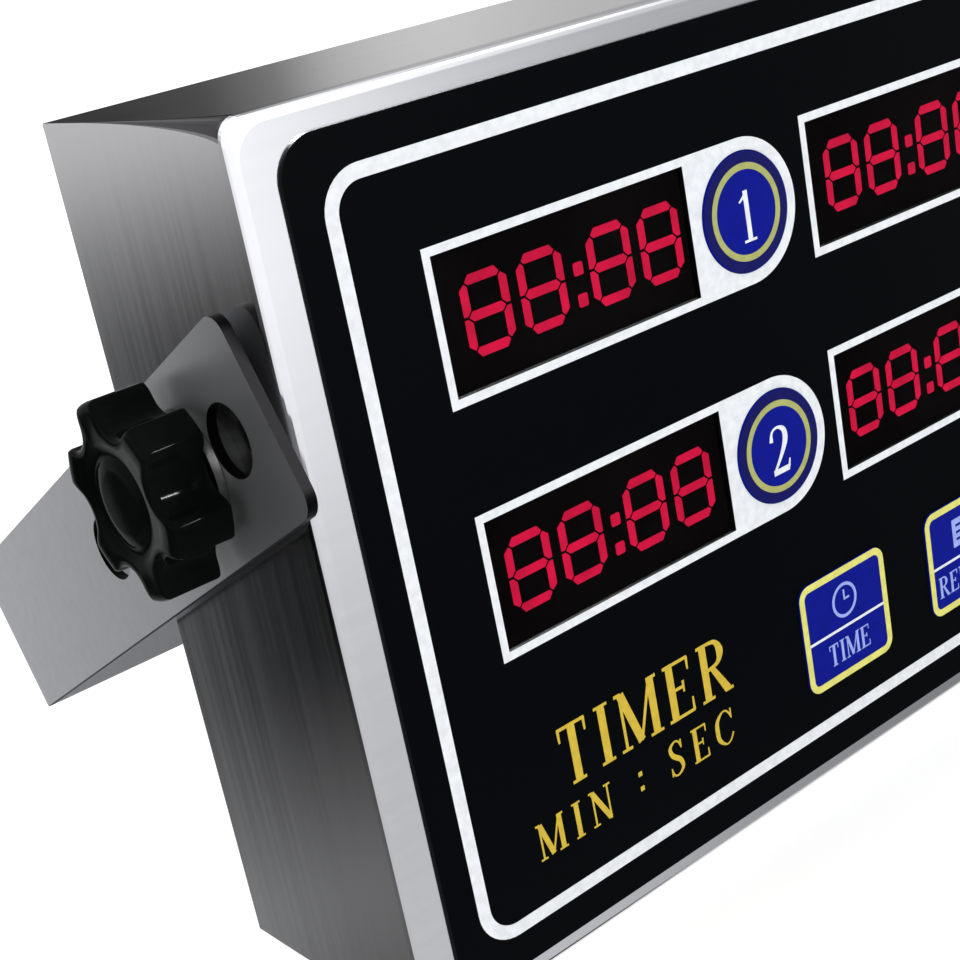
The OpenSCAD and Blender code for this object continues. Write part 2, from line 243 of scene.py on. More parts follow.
def glowing(name, color, glow):
    """A lit light bar, whose diffuser is slightly uneven."""
    material = new_material(name, tuple(c * 0.1 for c in color), 0.4, Emission_Strength=glow,
                            Specular_IOR_Level=0.05)
    nodes = Nodes(material)
    patch = nodes.noise((260, 260, 260), detail=1)
    dim = tuple(c * 0.72 for c in color)
    tone = nodes.mix(nodes.span(patch, 0.3, 0.7, 0, 1), dim, color)
    nodes.link(tone, nodes.shader.inputs["Emission Color"])
    return material


STEEL = (0.60, 0.60, 0.62)


def case_steel():
    """Brushed stainless sheet: upright grain on the sides, grain along X elsewhere, painted shade on the
    drawn-in upper corners.
    """
    material = new_material("case_steel", STEEL, 0.26, 1.0)
    nodes = Nodes(material)
    normal = nodes.parts(nodes.place("Normal"))
    sideways = nodes.math("ABSOLUTE", normal["X"])
    on_side = nodes.span(sideways, 0.5, 0.8, 0, 1)
    upright = nodes.noise((900, 900, 14), detail=4)
    along = nodes.noise((12, 700, 700), detail=4)
    lines = nodes.mix(on_side, along, upright)
    clouds = nodes.noise((9, 20, 20), detail=2)
    streaks = nodes.mix(nodes.span(lines, 0.3, 0.7, 0, 1), (0.585, 0.585, 0.60), (0.61, 0.61, 0.625))
    tint = nodes.mix(nodes.span(clouds, 0.3, 0.7, 0, 0.3), streaks, (0.57, 0.56, 0.60))
    # Painted shade: the drawn-in upper corners, which turn up and sideways but not forwards, get a
    # near-black colour that stands in for the dark reflection of the top
    upwards = nodes.span(normal["Z"], 0.03, 0.12, 0, 1)
    painted_shade_slope = nodes.math("MULTIPLY", upwards, nodes.span(sideways, 0.02, 0.12, 0, 1))
    not_forwards = nodes.span(nodes.math("ABSOLUTE", normal["Y"]), 0.3, 0.6, 1, 0)
    corner = nodes.math("MULTIPLY", painted_shade_slope, not_forwards)
    tint = nodes.mix(corner, tint, (0.055, 0.052, 0.058))
    nodes.link(tint, nodes.shader.inputs["Base Color"])
    nodes.link(nodes.span(lines, 0.3, 0.7, 0.14, 0.17), nodes.shader.inputs["Roughness"])
    nodes.bump(lines, 0.000001, 0.04)
    return material


def bracket_steel():
    """Satin steel strip: near-black painted shade on the cut edges of the legs and in their holes, and
    painted shade darkening the free ends.
    """
    material = new_material("bracket_steel", (0.6, 0.61, 0.62), 0.3, 0.85)
    nodes = Nodes(material)
    position = nodes.parts(nodes.place("Object"))
    sideways = nodes.math("ABSOLUTE", nodes.parts(nodes.place("Normal"))["X"])
    inner_face = BRACKET_HI.x - STRIP_T
    on_leg = nodes.span(nodes.math("ABSOLUTE", position["X"]), inner_face - 0.1 * MM, inner_face, 0, 1)
    # Painted shade: the cut edges of the legs, their free end faces and the walls of their holes get a
    # near-black colour
    edge = nodes.span(sideways, 0.3, 0.5, 1, 0)
    cut = nodes.mix(edge, (0, 0, 0), on_leg)
    lines = nodes.noise((500, 500, 500), detail=3)
    satin = nodes.mix(nodes.span(lines, 0.3, 0.7, 0, 1), (0.58, 0.59, 0.61), (0.62, 0.63, 0.65))
    # Painted shade: the strip grows darker towards its free end
    painted_shade_end = nodes.span(position["Y"], BRACKET_LO.y + 8 * MM, BRACKET_LO.y + 42 * MM, 1, 0)
    satin_with_painted_shade = nodes.mix(painted_shade_end, satin, (0.30, 0.305, 0.315))
    # The near-black cut edges are painted shade, laid over the painted shade of the free end
    nodes.link(nodes.mix(cut, satin_with_painted_shade, (0.002, 0.002, 0.0022)), nodes.shader.inputs["Base Color"])
    nodes.link(nodes.span(cut, 0, 1, 0.3, 0.5), nodes.shader.inputs["Roughness"])
    nodes.link(nodes.span(cut, 0, 1, 0.85, 1.0), nodes.shader.inputs["Metallic"])
    nodes.bump(lines, 0.000001, 0.04)
    return material


def window_film():
    """Thin dark film that the display shows through."""
    material = new_material("window_film", (0.001, 0.0005, 0.0008), 0.15, Alpha=0.12,
                            Specular_IOR_Level=0.02)
    nodes = Nodes(material)
    nodes.bump(nodes.noise((300, 300, 300), detail=1), 0.000005, 0.3)
    return material


def make_materials():
    """Every slot of the record, and the inks and light bars that only Blender has."""
    return {
        "case_steel": case_steel(),
        "bracket_steel": bracket_steel(),
        "overlay_film": printed("overlay_film", (0.0006, 0.0013, 0.0019), 0.28,
                                Specular_IOR_Level=0.02),
        "window_film": window_film(),
        "display_body": moulded("display_body", (0.0012, 0.0004, 0.0007), 0.5,
                                Specular_IOR_Level=0.01),
        "key_blue": printed("key_blue", (0.002, 0.007, 0.235), 0.3, Specular_IOR_Level=0.03),
        "zinc_screw": brushed("zinc_screw", (0.66, 0.67, 0.68), 0.25, (800, 800, 800)),
        "circuit_board": printed("circuit_board", (0.01, 0.13, 0.045), 0.35),
        "standoff_brass": brushed("standoff_brass", (0.66, 0.48, 0.2), 0.3, (900, 900, 900)),
        "switch_plastic": moulded("switch_plastic", (0.03, 0.03, 0.03), 0.5),
        "chip_epoxy": moulded("chip_epoxy", (0.02, 0.02, 0.022), 0.55),
        "crystal_can": brushed("crystal_can", (0.7, 0.7, 0.72), 0.2, (600, 600, 600)),
        "capacitor_sleeve": printed("capacitor_sleeve", (0.01, 0.02, 0.12), 0.3),
        "black_moulding": moulded("black_moulding", (0.012, 0.012, 0.013), 0.45),
        "nickel": brushed("nickel", (0.07, 0.07, 0.068), 0.4, (700, 700, 700)),
        "lead_insulation": moulded("lead_insulation", (0.35, 0.01, 0.01), 0.4),
        "connector_nylon": moulded("connector_nylon", (0.75, 0.72, 0.6), 0.5),
        "pad_rubber": moulded("pad_rubber", (0.012, 0.012, 0.012), 0.75),
        "knob_plastic": moulded("knob_plastic", (0.0012, 0.0018, 0.0016), 0.10, grain=500,
                                depth=0.000006, Specular_IOR_Level=0.012),
        "white_ink": printed("white_ink", (0.74, 0.77, 0.80), 0.4, Specular_IOR_Level=0.1),
        "yellow_ink": printed("yellow_ink", (0.70, 0.68, 0.17), 0.4, Specular_IOR_Level=0.1),
        "olive_ink": printed("olive_ink", (0.38, 0.40, 0.13), 0.4, Specular_IOR_Level=0.1),
        "gold_ink": printed("gold_ink", (0.60, 0.43, 0.04), 0.4, Specular_IOR_Level=0.1),
        "navy_ink": printed("navy_ink", (0.004, 0.005, 0.10), 0.3, Specular_IOR_Level=0.06),
        "pale_blue_ink": printed("pale_blue_ink", (0.30, 0.38, 0.80), 0.4, Specular_IOR_Level=0.1),
        "light_bar": glowing("light_bar", (0.80, 0.006, 0.062), 1.0),
    }


def dress_cad(materials):
    """Gives every CAD node the material of its slot in the record."""
    slots = {part["node"]: part["material_slot"] for part in frame["record"]["subparts"]}
    for name, node in frame["nodes"].items():
        material = materials[slots[name]]
        if not node.material_slots:
            node.data.materials.append(material)
        for held in node.material_slots:
            held.material = material


# ---------------------------------------------------------------- outlines, in metres, as (x, z)

def arc(cx, cz, r, start, end, steps):
    """Points from angle start to end in degrees."""
    angles = [math.radians(start + (end - start) * i / steps) for i in range(steps + 1)]
    return [(cx + r * math.cos(a), cz + r * math.sin(a)) for a in angles]


def ring_of(cx, cz, r, steps=72):
    return arc(cx, cz, r, 0, 360, steps)[:-1]


def rounded_box(x0, z0, x1, z1, r, steps=10):
    corners = ((x1 - r, z1 - r, 0), (x0 + r, z1 - r, 90), (x0 + r, z0 + r, 180), (x1 - r, z0 + r, 270))
    return [p for cx, cz, a in corners for p in arc(cx, cz, r, a, a + 90, steps)]


def sharp_box(x0, z0, x1, z1):
    return [(x0, z0), (x1, z0), (x1, z1), (x0, z1)]


# ---------------------------------------------------------------- flat pieces

def as_object(name, mesh, material, body):
    """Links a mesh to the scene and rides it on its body."""
    for polygon in mesh.polygons:
        polygon.use_smooth = False
    mesh.materials.clear()
    mesh.materials.append(material)
    piece = bpy.data.objects.new(name, mesh)
    bpy.context.scene.collection.objects.link(piece)
    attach(piece, body)
    return piece


def tidy_mesh(mesh):
    """Welds doubled corners and turns every face outwards."""
    work = bmesh.new()
    work.from_mesh(mesh)
    bmesh.ops.remove_doubles(work, verts=work.verts, dist=1e-7)
    bmesh.ops.recalc_face_normals(work, faces=work.faces)
    work.to_mesh(mesh)
    work.free()


def plate_mesh(loops, y, depth):
    """A plate in the X-Z plane whose front is at y: outlines and holes together."""
    curve = bpy.data.curves.new("outline", "CURVE")
    curve.dimensions = "2D"
    curve.fill_mode = "BOTH"
    curve.extrude = depth / 2
    for loop in loops:
        spline = curve.splines.new("POLY")
        spline.points.add(len(loop) - 1)
        for point, (x, z) in zip(spline.points, loop):
            point.co = (x, z, 0, 1)
        spline.use_cyclic_u = True
    holder = bpy.data.objects.new("outline", curve)
    bpy.context.scene.collection.objects.link(holder)
    bpy.context.view_layer.update()
    mesh = bpy.data.meshes.new_from_object(holder.evaluated_get(bpy.context.evaluated_depsgraph_get()))
    bpy.data.objects.remove(holder)
    bpy.data.curves.remove(curve)
    mesh.transform(Matrix.Translation((0, y + depth / 2, 0)) @ Matrix.Rotation(math.pi / 2, 4, "X"))
    tidy_mesh(mesh)
    return mesh


def strokes_mesh(strokes, y, depth):
    """Pen strokes as strips in the X-Z plane; each stands a hair behind the one before."""
    work = bmesh.new()
    for k, (left, right) in enumerate(strokes):
        front = y + k * STROKE_STEP
        rows = [[work.verts.new((x, at, z)) for x, z in side]
                for side in (left, right) for at in (front, y + depth)]
        near_left, far_left, near_right, far_right = rows
        for one, two in ((near_left, near_right), (far_right, far_left), (far_left, near_left),
                         (near_right, far_right)):
            for i in range(len(one) - 1):
                work.faces.new((one[i], one[i + 1], two[i + 1], two[i]))
        for i in (0, -1):
            work.faces.new((near_left[i], near_right[i], far_right[i], far_left[i]))
    bmesh.ops.recalc_face_normals(work, faces=work.faces)
    mesh = bpy.data.meshes.new("strokes")
    work.to_mesh(mesh)
    work.free()
    return mesh


def ink(name, loops, y, material, body, depth=INK):
    """Printed ink standing depth proud of the surface at y."""
    return as_object(name, plate_mesh(loops, y - depth, depth), material, body)


# ---------------------------------------------------------------- lettering

# Pen widths, as parts of a letter's height
THICK, THIN, HAIR = 0.15, 0.055, 0.035


def stem(x, low=0.0, high=1.0, width=THICK):
    """An upright stroke."""
    return [(x, low, width), (x, high, width)]


def bar(x0, x1, z, width=THIN):
    """A level stroke."""
    return [(x0, z, width), (x1, z, width)]


def foot(x, z=0.025, half=0.14):
    """A short level stroke that ends a stem."""
    return bar(x - half, x + half, z, 0.05)


def tick(x, z0, z1):
    """A short upright stroke that ends a bar or a curve."""
    return [(x, z0, THIN), (x, z1, HAIR)]


# Each glyph: its width, and its pen strokes as (x, z, pen width) in units of its height
GLYPHS = {
    "1": (0.5, [stem(0.27, width=0.12), foot(0.27, half=0.17),
                [(0.08, 0.80, HAIR), (0.19, 0.87, THIN), (0.31, 0.99, THIN)]]),
    "2": (0.6, [[(0.09, 0.72, 0.10), (0.14, 0.92, THIN), (0.31, 0.98, THIN), (0.48, 0.88, 0.12),
                 (0.49, 0.66, 0.14), (0.33, 0.38, 0.09), (0.08, 0.07, THIN)],
                bar(0.06, 0.52, 0.065, 0.12), [(0.51, 0.06, 0.06), (0.56, 0.24, HAIR)]]),
    "3": (0.6, [[(0.09, 0.76, 0.09), (0.16, 0.93, THIN), (0.31, 0.98, THIN), (0.47, 0.86, 0.12),
                 (0.44, 0.66, 0.12), (0.26, 0.54, THIN)],
                [(0.26, 0.54, THIN), (0.45, 0.48, 0.09), (0.54, 0.27, 0.14), (0.44, 0.07, 0.09),
                 (0.25, 0.02, THIN), (0.07, 0.14, 0.09)]]),
    "4": (0.6, [stem(0.41, width=0.13), [(0.40, 0.99, THIN), (0.04, 0.30, THIN)],
                bar(0.02, 0.58, 0.29, 0.07), foot(0.41)]),
    "5": (0.6, [bar(0.14, 0.52, 0.93, 0.12), [(0.15, 0.95, THIN), (0.12, 0.54, THIN)],
                [(0.12, 0.53, THIN), (0.31, 0.61, THIN), (0.50, 0.50, 0.12), (0.53, 0.26, 0.14),
                 (0.38, 0.05, 0.08), (0.20, 0.02, THIN), (0.07, 0.12, 0.09)]]),
    "6": (0.6, [[(0.52, 0.96, HAIR), (0.31, 0.86, 0.07), (0.13, 0.58, 0.13), (0.09, 0.30, 0.14),
                 (0.17, 0.08, 0.09), (0.32, 0.02, THIN), (0.48, 0.10, 0.1), (0.54, 0.30, 0.13),
                 (0.47, 0.51, 0.08), (0.32, 0.58, THIN), (0.15, 0.46, HAIR)]]),
    "7": (0.6, [bar(0.08, 0.55, 0.93, 0.12),
                [(0.54, 0.94, THIN), (0.39, 0.62, 0.09), (0.28, 0.30, 0.12), (0.26, 0.0, 0.13)],
                [(0.09, 0.95, THIN), (0.07, 0.74, HAIR)]]),
    "8": (0.6, [[(0.31, 0.55, 0.06), (0.13, 0.70, 0.10), (0.17, 0.91, 0.08), (0.31, 0.98, THIN),
                 (0.45, 0.91, 0.08), (0.48, 0.70, 0.10), (0.31, 0.55, 0.06)],
                [(0.31, 0.55, 0.06), (0.11, 0.36, 0.11), (0.12, 0.12, 0.10), (0.31, 0.02, THIN),
                 (0.50, 0.12, 0.10), (0.52, 0.36, 0.11), (0.31, 0.55, 0.06)]]),
    "A": (0.78, [[(0.38, 0.98, THIN), (0.12, 0.02, THIN)], [(0.36, 0.98, THICK), (0.64, 0.02, THICK)],
                 bar(0.2, 0.56, 0.33), foot(0.12, half=0.11), foot(0.64, half=0.13)]),
    "C": (0.72, [[(0.64, 0.72, THIN), (0.52, 0.93, THIN), (0.34, 0.98, THIN), (0.12, 0.78, 0.13),
                  (0.08, 0.5, THICK), (0.12, 0.22, 0.13), (0.34, 0.02, THIN), (0.52, 0.07, THIN),
                  (0.65, 0.26, THIN)], tick(0.64, 0.98, 0.68)]),
    "D": (0.76, [stem(0.17), bar(0.04, 0.3, 0.975), bar(0.04, 0.3, 0.025),
                 [(0.26, 0.975, THIN), (0.5, 0.93, 0.08), (0.66, 0.7, 0.14), (0.67, 0.5, THICK),
                  (0.66, 0.3, 0.14), (0.5, 0.07, 0.08), (0.26, 0.025, THIN)]]),
    "E": (0.66, [stem(0.17), bar(0.04, 0.58, 0.97), bar(0.2, 0.44, 0.52), bar(0.04, 0.6, 0.03),
                 tick(0.57, 0.98, 0.76), tick(0.43, 0.62, 0.42), tick(0.59, 0.02, 0.26)]),
    "I": (0.34, [stem(0.17), foot(0.17), foot(0.17, 0.975)]),
    "L": (0.64, [stem(0.17), foot(0.17, 0.975), bar(0.04, 0.56, 0.03), tick(0.56, 0.02, 0.28)]),
    "M": (0.94, [stem(0.13, width=THIN), stem(0.79), [(0.15, 0.97, THICK), (0.45, 0.04, THICK)],
                 [(0.45, 0.04, THIN), (0.77, 0.97, THIN)], foot(0.13, half=0.11), foot(0.79),
                 bar(0.02, 0.16, 0.975), bar(0.76, 0.92, 0.975)]),
    "N": (0.78, [stem(0.13, width=THIN), stem(0.64, width=THIN), [(0.13, 0.96, THICK), (0.62, 0.04, THICK)],
                 foot(0.13, half=0.11), foot(0.64, 0.975, 0.11), bar(0.01, 0.14, 0.975)]),
    "O": (0.76, [[(0.37, 0.98, THIN), (0.15, 0.82, 0.12), (0.08, 0.5, THICK), (0.15, 0.18, 0.12),
                  (0.37, 0.02, THIN), (0.59, 0.18, 0.12), (0.66, 0.5, THICK), (0.59, 0.82, 0.12),
                  (0.37, 0.98, THIN)]]),
    "P": (0.66, [stem(0.17), foot(0.17), bar(0.04, 0.3, 0.975),
                 [(0.24, 0.975, THIN), (0.46, 0.94, 0.08), (0.56, 0.74, THICK), (0.46, 0.54, 0.08),
                  (0.2, 0.49, THIN)]]),
    "R": (0.74, [stem(0.17), foot(0.17), bar(0.04, 0.3, 0.975),
                 [(0.24, 0.975, THIN), (0.46, 0.94, 0.08), (0.55, 0.75, THICK), (0.46, 0.57, 0.08),
                  (0.2, 0.52, THIN)], [(0.34, 0.52, 0.1), (0.62, 0.03, THICK)], bar(0.56, 0.74, 0.025)]),
    "S": (0.6, [[(0.5, 0.74, HAIR), (0.42, 0.93, THIN), (0.28, 0.98, THIN), (0.11, 0.85, 0.11),
                 (0.17, 0.62, 0.14), (0.42, 0.40, 0.14), (0.47, 0.17, 0.11), (0.29, 0.02, THIN),
                 (0.13, 0.07, THIN), (0.07, 0.28, HAIR)], tick(0.5, 0.97, 0.72), tick(0.07, 0.04, 0.28)]),
    "T": (0.66, [stem(0.31), foot(0.31), bar(0.03, 0.59, 0.97), tick(0.05, 0.98, 0.76),
                 tick(0.57, 0.98, 0.76)]),
    "U": (0.78, [[(0.15, 0.97, THICK), (0.15, 0.34, THICK), (0.23, 0.08, 0.1), (0.40, 0.02, THIN),
                  (0.57, 0.1, THIN), (0.64, 0.34, THIN), (0.64, 0.97, THIN)],
                 foot(0.15, 0.975), foot(0.64, 0.975, 0.11)]),
    "V": (0.76, [[(0.12, 0.97, THICK), (0.38, 0.04, THICK)], [(0.38, 0.04, THIN), (0.62, 0.97, THIN)],
                 foot(0.12, 0.975, 0.13), foot(0.63, 0.975, 0.11)]),
    "W": (1.0, [[(0.12, 0.97, THICK), (0.3, 0.04, THICK)], [(0.3, 0.04, THIN), (0.48, 0.9, THIN)],
                [(0.46, 0.97, THICK), (0.66, 0.04, THICK)], [(0.66, 0.04, THIN), (0.86, 0.97, THIN)],
                foot(0.12, 0.975, 0.12), foot(0.87, 0.975, 0.1)]),
    ":": (0.3, [stem(0.15, 0.2, 0.33, 0.13), stem(0.15, 0.62, 0.75, 0.13)]),
    " ": (0.35, []),
}


def smooth_stroke(points, steps=7):
    """A smooth curve through the pen's points (Catmull-Rom), widths included."""
    if len(points) < 3:
        return points
    closed = points[0][:2] == points[-1][:2]
    before = points[-2] if closed else points[0]
    after = points[1] if closed else points[-1]
    ends = [before, *points, after]
    curve = []
    for a, b, c, d in zip(ends, ends[1:], ends[2:], ends[3:]):
        for i in range(steps):
            t = i / steps
            curve.append(tuple(0.5 * (2 * q + (r - p) * t + (2 * p - 5 * q + 4 * r - s) * t * t
                                      + (3 * q - p - 3 * r + s) * t ** 3)
                               for p, q, r, s in zip(a, b, c, d)))
    return curve + [points[-1]]


def stroke_sides(points):
    """The left and the right edge of the pen's track."""
    line = smooth_stroke(points)
    left, right = [], []
    for i, (x, z, width) in enumerate(line):
        x0, z0, _ = line[max(0, i - 1)]
        x1, z1, _ = line[min(len(line) - 1, i + 1)]
        length = math.hypot(x1 - x0, z1 - z0)
        nx, nz = -(z1 - z0) / length * width / 2, (x1 - x0) / length * width / 2
        left.append((x + nx, z + nz))
        right.append((x - nx, z - nz))
    return left, right


def text_width(text, height, spacing):
    return sum(GLYPHS[c][0] + spacing for c in text) * height - spacing * height


def text_strokes(text, x, z, height, spacing=0.06, centred=True):
    """Strokes of a line of text with its baseline at z; x is its middle or its left end."""
    if centred:
        x -= text_width(text, height, spacing) / 2
    strokes = []
    for character in text:
        width, pen_lines = GLYPHS[character]
        for points in pen_lines:
            strokes.append([[(x + px * height, z + pz * height) for px, pz in side]
                            for side in stroke_sides(points)])
        x += (width + spacing) * height
    return strokes


def lettering(name, text, x, z, height, y, material, body, slot, **options):
    """A line of printed text standing proud of the surface at y."""
    mesh = strokes_mesh(text_strokes(text, x, z, height, **options), y - INK, INK)
    return as_object(name, mesh, material, body)


# ---------------------------------------------------------------- front panel print

BORDER_W = 2.0 * MM
FRAME_LINE = 1.2 * MM
# The flange round a key behind the panel, and the gap round the key in the panel
KEY_FLANGE = 1.2 * MM
KEY_GAP = 0.15 * MM


def border_line(materials):
    """The white line that runs round the front panel, in from its edges."""
    inset_x, top, bottom, r = 4.7 * MM, 4.9 * MM, 5.0 * MM, 6.0 * MM
    x0, x1 = OVERLAY_LO.x + inset_x, OVERLAY_HI.x - inset_x
    z0, z1 = OVERLAY_LO.z + bottom, OVERLAY_HI.z - top
    w = BORDER_W
    ink("border_line", [rounded_box(x0, z0, x1, z1, r), rounded_box(x0 + w, z0 + w, x1 - w, z1 - w, r - w)],
        OVERLAY_Y, materials["white_ink"], "case")


def window_box(n):
    """A display's window: the panes are one node, so its place comes from its display."""
    lo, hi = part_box(f"display_{n}")
    grow = 0.35 * MM
    return lo.x - grow, lo.z - grow, hi.x + grow, hi.z + grow


def display_frame(n, materials):
    """White line round a window, which widens into the round field of the channel key."""
    wx0, wz0, wx1, wz1 = window_box(n)
    key_lo, key_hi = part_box(f"channel_key_{n}")
    cx, cz = (key_lo.x + key_hi.x) / 2, (key_lo.z + key_hi.z) / 2
    line = FRAME_LINE
    half = (wz1 - wz0) / 2 + line
    outer = [(wx0 - line, cz + half), (wx0 - line, cz - half)] + arc(cx, cz, half, -90, 90, 48)
    window = sharp_box(wx0, wz0, wx1, wz1)
    key_r = (key_hi.x - key_lo.x) / 2 - KEY_FLANGE + KEY_GAP
    ink(f"display_frame_{n}", [outer, window, ring_of(cx, cz, key_r)], OVERLAY_Y,
        materials["white_ink"], "case")


def digit_bars(x, z, w, h, t, gap):
    """The seven bars of one digit, its corners cut off, from its lower left corner."""
    c = 0.16 * h
    m = h / 2
    upper_left = [(0, m + gap), (0, h - c), (c / 2, h - c / 2 - gap), (t, h - t - gap),
                  (t, m + t / 2 + gap), (t / 2, m + gap)]
    top = [(c / 2 + gap, h - c / 2), (c, h), (w - c, h), (w - c / 2 - gap, h - c / 2),
           (w - t - gap, h - t), (t + gap, h - t)]
    middle = [(t / 2 + gap, m), (t + gap, m + t / 2), (w - t - gap, m + t / 2), (w - t / 2 - gap, m),
              (w - t - gap, m - t / 2), (t + gap, m - t / 2)]
    bars = [upper_left, top, middle]
    bars.append([(w - px, pz) for px, pz in upper_left])
    bars.append([(px, h - pz) for px, pz in upper_left])
    bars.append([(w - px, h - pz) for px, pz in upper_left])
    bars.append([(px, h - pz) for px, pz in top])
    return [[(x + px, z + pz) for px, pz in bar_points] for bar_points in bars]


DIGIT_W, DIGIT_H, DIGIT_T = 7.8 * MM, 10.8 * MM, 1.3 * MM
DIGIT_STARTS = (3.8 * MM, 13.3 * MM, 25.6 * MM, 35.1 * MM)
COLON_X = 22.8 * MM
DOT_W, DOT_H = 1.7 * MM, 1.8 * MM
DOT_HEIGHTS = (0.9 * MM, -3.4 * MM)
BAR_GAP = 0.2 * MM
# The lower row's digits sit a little to the left in their windows
LOWER_ROW_SHIFT = -1.1 * MM


def display_digits(n, materials):
    """Lit bars and colon on the face of a display module."""
    wx0, wz0, _, wz1 = window_box(n)
    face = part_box(f"display_{n}")[0].y
    cz = (wz0 + wz1) / 2
    z = cz - DIGIT_H / 2
    shift = 0 if n % 2 else LOWER_ROW_SHIFT
    loops = []
    for start in DIGIT_STARTS:
        loops += digit_bars(wx0 + start + shift, z, DIGIT_W, DIGIT_H, DIGIT_T, BAR_GAP)
    x = wx0 + COLON_X + shift
    for dz in DOT_HEIGHTS:
        loops.append(rounded_box(x, cz + dz - DOT_H / 2, x + DOT_W, cz + dz + DOT_H / 2, 0.3 * MM, 4))
    ink(f"digits_{n}", loops, face, materials["light_bar"], "case")


def panel_words(materials):
    """Generic gold wording at the lower left of the panel."""
    x, indent = CASE_LO.x + 22.5 * MM, 6.5 * MM
    word_z, word_h = 24.6 * MM, 9.2 * MM
    units_z, units_h = 16.3 * MM, 5.6 * MM
    gold = materials["gold_ink"]
    lettering("panel_word", "TIMER", x + indent, word_z, word_h, OVERLAY_Y, gold, "case",
              "overlay_film", centred=False, spacing=0.1)
    lettering("panel_units", "MIN : SEC", x, units_z, units_h, OVERLAY_Y, gold, "case",
              "overlay_film", centred=False, spacing=0.26)


# ---------------------------------------------------------------- keys

def channel_print(n, materials):
    """Navy rim, yellow ring and number on a channel key."""
    body = f"channel_key_{n}"
    lo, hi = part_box(body)
    cx, cz, y = (lo.x + hi.x) / 2, (lo.z + hi.z) / 2, lo.y
    edge = (hi.x - lo.x) / 2 - KEY_FLANGE
    ring_r, ring_w = 7.0 * MM, 0.95 * MM
    rim_in = ring_r + 0.02 * MM
    ink(f"key_rim_{n}", [ring_of(cx, cz, edge - 0.1 * MM), ring_of(cx, cz, rim_in)], y,
        materials["navy_ink"], body, INK / 2)
    ink(f"key_ring_{n}", [ring_of(cx, cz, ring_r), ring_of(cx, cz, ring_r - ring_w)], y,
        materials["olive_ink"], body)
    height, lowered = 7.4 * MM, 0.6 * MM
    lettering(f"key_number_{n}", str(n), cx, cz - height / 2 - lowered, height, y,
              materials["white_ink"], body, "key_blue")


def triangle(cx, cz, r, angle):
    """Three equal sides, with a corner at the angle in degrees."""
    return arc(cx, cz, r, angle, angle + 240, 2)


def icon_loops(kind, cx, cz, s):
    """Outlines of a key's icon about (cx, cz), s being its half height."""
    if kind == "time":
        hands = [(cx - 0.06 * s, cz), (cx - 0.06 * s, cz + 0.6 * s), (cx + 0.06 * s, cz + 0.6 * s),
                 (cx + 0.06 * s, cz + 0.12 * s), (cx + 0.4 * s, cz + 0.12 * s), (cx + 0.4 * s, cz)]
        return [ring_of(cx, cz, s), ring_of(cx, cz, s * 0.82), hands]
    if kind == "remind":
        lines = [sharp_box(cx - 0.8 * s, cz + k * s, cx + 0.8 * s, cz + (k + 0.16) * s)
                 for k in (-0.5, -0.08, 0.34)]
        return [sharp_box(cx - 1.1 * s, cz - 0.85 * s, cx + 1.1 * s, cz + 0.85 * s)] + lines
    if kind == "volume":
        horn = [(cx - s, cz - 0.3 * s), (cx - 0.55 * s, cz - 0.3 * s), (cx, cz - 0.8 * s),
                (cx, cz + 0.8 * s), (cx - 0.55 * s, cz + 0.3 * s), (cx - s, cz + 0.3 * s)]
        waves = [arc(cx, cz, r * s, -40, 40, 12) + arc(cx, cz, (r - 0.14) * s, 40, -40, 12)
                 for r in (0.6, 1.0)]
        return [horn] + waves
    if kind in ("up", "down"):
        return [triangle(cx, cz + (-0.15 if kind == "up" else 0.15) * s, s, 90 if kind == "up" else 270)]
    if kind == "set":
        return [[(cx - 0.95 * s, cz + 0.05 * s), (cx - 0.7 * s, cz + 0.3 * s), (cx - 0.25 * s, cz - 0.2 * s),
                 (cx + 0.75 * s, cz + 0.85 * s), (cx + s, cz + 0.6 * s), (cx - 0.25 * s, cz - 0.7 * s)]]
    # What is left is clear: a cross, drawn upright and turned by an eighth
    w = 0.12
    cross = ((1, w), (w, w), (w, 1), (-w, 1), (-w, w), (-1, w),
             (-1, -w), (-w, -w), (-w, -1), (w, -1), (w, -w), (1, -w))
    root = math.sqrt(0.5)
    return [[(cx + (a - b) * root * s, cz + (a + b) * root * s) for a, b in cross]]


def function_print(kind, materials):
    """Yellow frame, divider, icon and generic word on a function key."""
    body = f"{kind}_key"
    lo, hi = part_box(body)
    x0, x1 = lo.x + KEY_FLANGE, hi.x - KEY_FLANGE
    z0, z1 = lo.z + KEY_FLANGE, hi.z - KEY_FLANGE
    cx, cz, y = (x0 + x1) / 2, (z0 + z1) / 2, lo.y
    r, line = 2.3 * MM, 1.15 * MM
    ink(f"{kind}_frame", [rounded_box(x0, z0, x1, z1, r),
                          rounded_box(x0 + line, z0 + line, x1 - line, z1 - line, r - line)],
        y, materials["yellow_ink"], body)
    divider, half_line = cz - 0.75 * MM, 0.22 * MM
    ink(f"{kind}_divider", [sharp_box(x0 + line, divider - half_line, x1 - line, divider + half_line)],
        y, materials["white_ink"], body)
    icon_z = (divider + z1 - line) / 2
    ink(f"{kind}_icon", icon_loops(kind, cx, icon_z, 2.9 * MM), y, materials["pale_blue_ink"], body)
    word_h = 3.7 * MM
    word = kind.upper() if kind != "volume" else "VOL"
    lettering(f"{kind}_word", word, cx, (z0 + line + divider) / 2 - word_h / 2, word_h, y,
              materials["pale_blue_ink"], body, "key_blue", spacing=0.03)


# ---------------------------------------------------------------- knobs

# The knob's lobes, and the round hollows between them: first angle, radius, centre past the lobes' tips
LOBES = 6
HOLLOW_ANGLE = math.radians(44)
HOLLOW_R = 4.8 * MM
HOLLOW_OUT = 1.4 * MM


